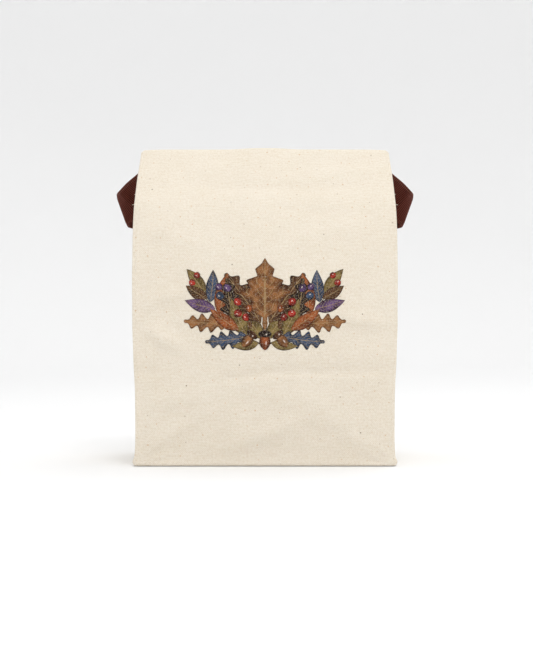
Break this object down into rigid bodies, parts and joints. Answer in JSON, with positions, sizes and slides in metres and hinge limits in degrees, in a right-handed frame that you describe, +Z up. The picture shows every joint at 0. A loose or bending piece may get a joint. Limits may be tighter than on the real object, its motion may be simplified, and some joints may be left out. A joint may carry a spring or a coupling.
{
  "type": "folded canvas lunch bag with strap handle",
  "caption": "Soft canvas lunch bag standing on a flat base, with pleated sides, its top folded over to the back and a flat webbing strap handle across the back.",
  "frame": {"origin": "centre of the underside of the base, on the surface that the bag stands on", "axes": "+Z up, the front panel faces -Y, +X to the right as seen from the front"},
  "size_m": [0.2498, 0.1435, 0.2508],
  "materials": {
    "front_panel": "unbleached natural cotton canvas, matte plain weave",
    "back_panel": "unbleached natural cotton canvas, matte plain weave",
    "gusset_left": "unbleached natural cotton canvas, matte plain weave",
    "gusset_right": "unbleached natural cotton canvas, matte plain weave",
    "base_panel": "unbleached natural cotton canvas, matte plain weave",
    "handle_strap": "dark red-brown woven webbing, ribbed, matte",
    "closure_tape": "woven hook and loop tape, matte"
  },
  "bodies": {
    "root": {"front_panel": "front_panel", "back_panel": "back_panel", "gusset_left": "gusset_left", "gusset_right": "gusset_right", "base_panel": "base_panel", "handle_strap": "handle_strap", "closure_tape": "closure_tape"}
  },
  "joints": []
}
